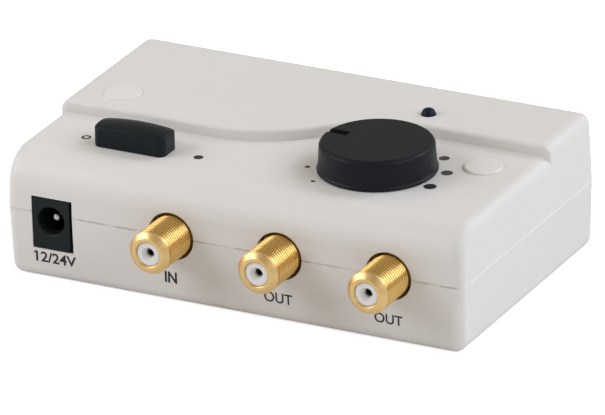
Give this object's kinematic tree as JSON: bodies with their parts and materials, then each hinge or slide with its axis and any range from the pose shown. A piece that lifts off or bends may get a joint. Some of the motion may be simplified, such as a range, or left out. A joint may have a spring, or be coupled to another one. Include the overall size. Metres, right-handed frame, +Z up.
{
  "type": "antenna_amplifier",
  "caption": "Desktop TV antenna amplifier in an off-white two-shell plastic case with a wave step, black gain knob, slide switch, lamp, coaxial sockets and a power socket",
  "frame": {"origin": "middle of the case's flat underside, under the middle of its plan at the seam", "axes": "x to the right along the front with the sockets, y to the back, z up, metres"},
  "size_m": [0.108, 0.0754, 0.0346],
  "materials": {
    "case_plastic": "fine spark texture, warm off-white moulded plastic",
    "cap_plastic": "smoother off-white moulded plastic",
    "knob_plastic": "fine matt, dark charcoal",
    "black_plastic": "satin black moulded plastic",
    "lamp_plastic": "clear tinted dark blue",
    "white_plastic": "smooth white insulator",
    "gold_plate": "turned brass with thin gold plating",
    "contact_metal": "tinned contact metal",
    "steel": "zinc-plated steel",
    "can_metal": "tinned sheet steel",
    "board": "green solder mask",
    "brown_laminate": "brown paper laminate",
    "ferrite": "dark grey ceramic",
    "copper": "enamelled copper wire"
  },
  "bodies": {
    "case": {"upper_shell": "case_plastic", "lower_shell": "case_plastic", "circuit_board": "board", "in_socket_barrel": "gold_plate", "in_socket_block": "gold_plate", "in_socket_insulator": "white_plastic", "in_socket_contact": "contact_metal", "out_socket_1_barrel": "gold_plate", "out_socket_1_block": "gold_plate", "out_socket_1_insulator": "white_plastic", "out_socket_1_contact": "contact_metal", "out_socket_2_barrel": "gold_plate", "out_socket_2_block": "gold_plate", "out_socket_2_insulator": "white_plastic", "out_socket_2_contact": "contact_metal", "power_socket_housing": "black_plastic", "power_socket_pin": "contact_metal", "power_socket_spring": "contact_metal", "switch_housing": "can_metal", "pot_can": "can_metal", "pot_base": "brown_laminate", "lamp_lens": "lamp_plastic", "lamp_spacer": "white_plastic", "screening_can": "can_metal", "screening_lid": "can_metal", "voltage_regulator": "black_plastic", "choke_core": "ferrite", "choke_winding": "copper", "case_screws": "steel", "board_screws": "steel", "switch_pins": "contact_metal", "pot_tags": "contact_metal", "lamp_leads": "contact_metal", "amplifier_chips": "black_plastic", "ferrite_cores": "ferrite", "electrolytic_capacitors": "black_plastic", "rectifiers": "black_plastic", "chip_resistors": "black_plastic", "chip_capacitors": "brown_laminate"},
    "knob": {"gain_knob": "knob_plastic", "pot_shaft": "steel", "pot_wiper": "white_plastic"},
    "slider": {"switch_cap": "black_plastic", "switch_lever": "black_plastic"},
    "cap_left": {"screw_cap_left": "cap_plastic"},
    "cap_right": {"screw_cap_right": "cap_plastic"}
  },
  "joints": [
    {"name": "gain_turn", "type": "hinge", "parent": "case", "child": "knob", "pos_m": [0.0228, -0.0085, 0.02825], "axis": [0, 0, 1], "range_deg": [-218.6, 81.4]},
    {"name": "switch_slide", "type": "slide", "parent": "case", "child": "slider", "axis": [1, 0, 0], "range_m": [0, 0.003]},
    {"name": "cap_left_lift", "type": "slide", "parent": "case", "child": "cap_left", "axis": [0, 0, 1], "range_m": [0, 0.008]},
    {"name": "cap_right_lift", "type": "slide", "parent": "case", "child": "cap_right", "axis": [0, 0, 1], "range_m": [0, 0.008]}
  ]
}
